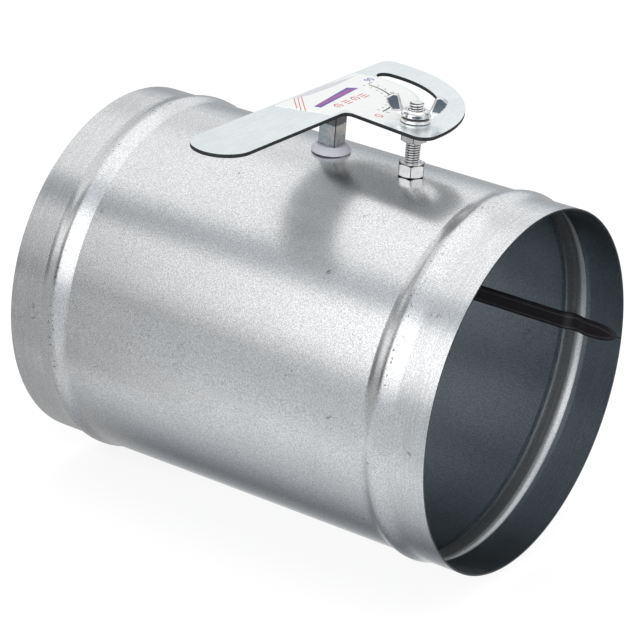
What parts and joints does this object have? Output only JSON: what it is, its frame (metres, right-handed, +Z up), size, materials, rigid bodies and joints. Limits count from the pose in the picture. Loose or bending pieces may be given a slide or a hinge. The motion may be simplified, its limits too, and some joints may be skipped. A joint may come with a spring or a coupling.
{
  "type": "manual volume control damper",
  "caption": "Round sheet-metal duct section with rolled beads, an inner blade on a square shaft, and a slotted quadrant handle locked by a wing nut.",
  "frame": {"origin": "centre of the outlet spigot's end face, on the duct axis", "axes": "+X along the duct out of the outlet end, +Z up along the shaft towards the handle, +Y across the duct away from the lever"},
  "size_m": [0.2, 0.1635, 0.1879],
  "materials": {
    "galvanised": "galvanised sheet, fine grain, satin",
    "blade_sheet": "galvanised sheet, satin",
    "seam_black": "black sealing strip, dull",
    "bush_grey": "pale grey moulded plastic",
    "shaft_zinc": "zinc plated drawn steel",
    "plate_zinc": "pale blue zinc plate with dark cut edges",
    "label_print": "printed film label, satin",
    "bright_zinc": "bright zinc plated steel",
    "cast_zinc": "bright plated casting"
  },
  "bodies": {
    "duct": {"tube_shell": "galvanised", "seam_sealing_strip": "seam_black", "stud_bolt": "bright_zinc", "stud_head_washer": "bright_zinc", "stud_lock_nut": "bright_zinc", "plate_support_nut": "bright_zinc", "plate_support_washer": "bright_zinc", "clamp_washer": "bright_zinc"},
    "blade_and_handle": {"upper_bush": "bush_grey", "lower_bush": "bush_grey", "square_shaft": "shaft_zinc", "blade_disc": "blade_sheet", "blade_screw_upper": "bright_zinc", "blade_screw_lower": "bright_zinc", "blade_washer_upper": "bright_zinc", "blade_washer_lower": "bright_zinc", "blade_nut_upper": "bright_zinc", "blade_nut_lower": "bright_zinc", "handle_plate": "plate_zinc", "scale_label": "label_print"},
    "wing_nut": {"wing_nut": "cast_zinc"}
  },
  "joints": [
    {"name": "blade_turn", "type": "hinge", "parent": "duct", "child": "blade_and_handle", "pos_m": [-0.1, 0, 0], "axis": [0, 0, 1], "range_deg": [-90, 0]},
    {"name": "wing_nut_turn", "type": "hinge", "parent": "duct", "child": "wing_nut", "pos_m": [-0.062, 0, 0], "axis": [0, 0, 1], "range_deg": [0, 360]}
  ]
}
